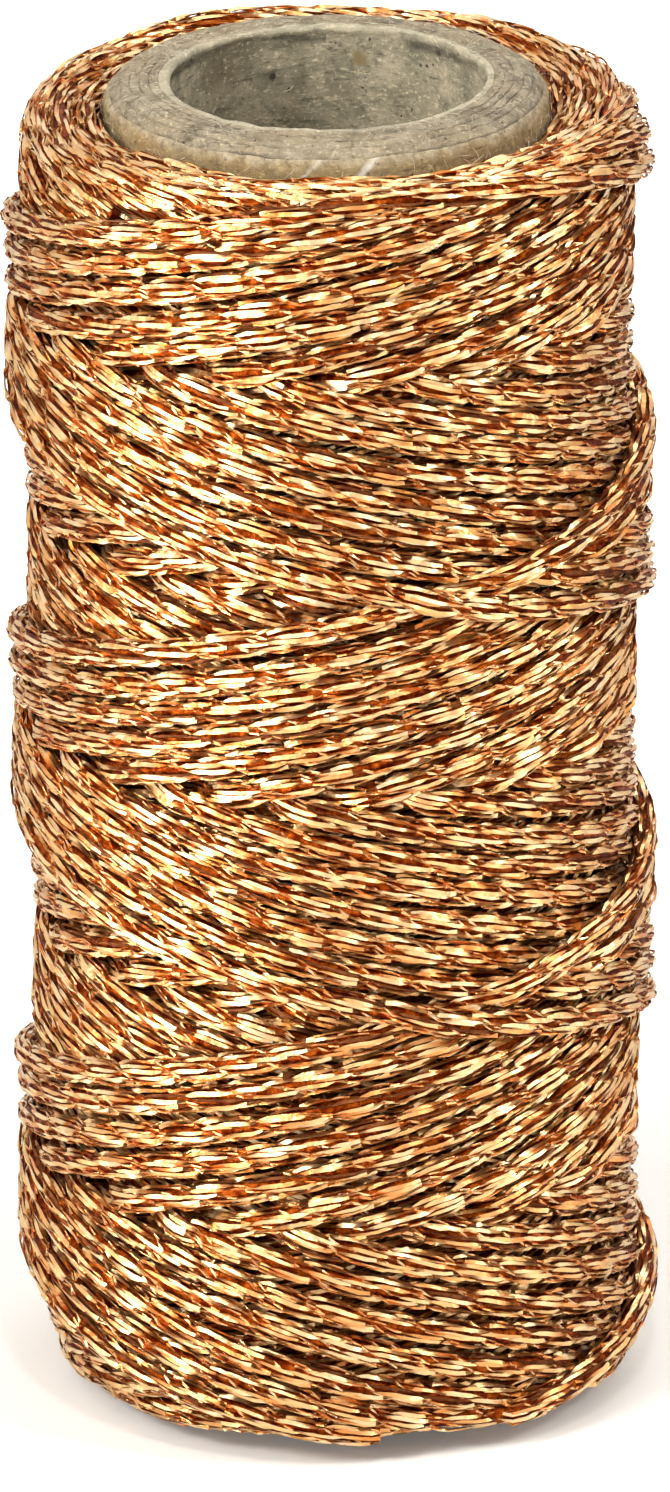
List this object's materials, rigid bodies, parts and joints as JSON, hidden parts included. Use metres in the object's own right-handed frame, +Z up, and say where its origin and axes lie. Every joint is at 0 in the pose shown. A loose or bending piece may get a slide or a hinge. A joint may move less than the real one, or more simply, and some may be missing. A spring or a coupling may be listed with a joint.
{
  "type": "spool of twine",
  "caption": "Straight paper tube carrying a barrel-shaped package of twisted metallic twine, wound crosswise so that its passes form slanting diamonds.",
  "frame": {"origin": "centre of the tube's lower end face", "axes": "+Z up along the tube's axis, -Y towards the viewer"},
  "size_m": [0.0426, 0.0426, 0.09],
  "materials": {
    "liner_board": "matte",
    "grey_board": "matte",
    "wrap_paper": "matte",
    "metallic_twine": "satin",
    "buried_twine": "satin"
  },
  "bodies": {
    "root": {"tube_inner_liner": "liner_board", "board_ply_1": "grey_board", "board_ply_2": "grey_board", "board_ply_3": "grey_board", "board_ply_4": "grey_board", "board_ply_5": "grey_board", "tube_outer_wrap": "wrap_paper", "twine_buried_layers": "buried_twine", "twine_outer_layer": "metallic_twine"}
  },
  "joints": []
}
